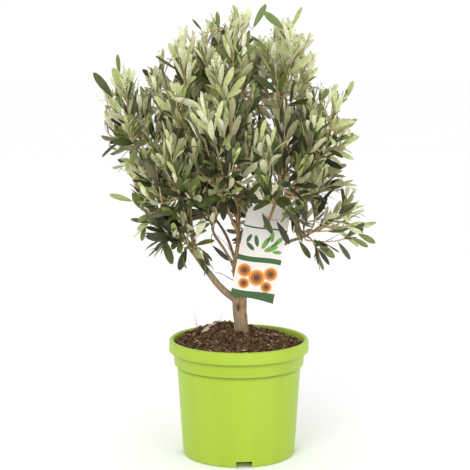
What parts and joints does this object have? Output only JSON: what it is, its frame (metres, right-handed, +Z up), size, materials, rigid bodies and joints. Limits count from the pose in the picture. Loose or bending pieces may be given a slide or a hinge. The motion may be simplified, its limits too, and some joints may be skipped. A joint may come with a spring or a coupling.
{
  "type": "potted olive tree",
  "caption": "Young olive tree with a short trunk, forked boughs and a full crown, in a round plastic nursery pot with a hanging card.",
  "frame": {"origin": "middle of the pot's flat underside", "axes": "+Z up along the pot's axis; -Y towards the side with the card"},
  "size_m": [0.4206, 0.3521, 0.6968],
  "materials": {
    "pot": "lime green moulded plastic with a soft sheen",
    "soil": "dark crumbly peat with fibres",
    "bark": "smooth young bark, tan to grey brown",
    "foliage": "narrow leathery leaves, grey green above and silvery below",
    "card": null
  },
  "bodies": {
    "root": {"pot": "pot", "soil": "soil", "trunk": "bark", "bough_leader": "bark", "bough_left": "bark", "bough_centre": "bark", "bough_left_rising": "bark", "branch_right": "bark", "branch_right_low": "bark", "branch_left": "bark", "branch_left_low": "bark", "branch_front_right": "bark", "branch_front_centre": "bark", "branch_front_left": "bark", "branch_back_centre": "bark", "branch_back_left": "bark", "branch_back_right": "bark", "branch_middle": "bark", "branch_back_low": "bark", "branch_top_back": "bark", "foliage_top_right": "foliage", "foliage_top_centre": "foliage", "foliage_top_left": "foliage", "foliage_top_back": "foliage", "foliage_left": "foliage", "foliage_middle": "foliage", "foliage_left_low": "foliage", "foliage_under_left": "foliage", "foliage_right": "foliage", "foliage_right_low": "foliage", "foliage_front_centre": "foliage", "foliage_front_left": "foliage", "foliage_front_right": "foliage", "foliage_back_centre": "foliage", "foliage_back_left": "foliage", "foliage_back_right": "foliage", "foliage_back_low": "foliage", "label_card": "card"}
  },
  "joints": []
}
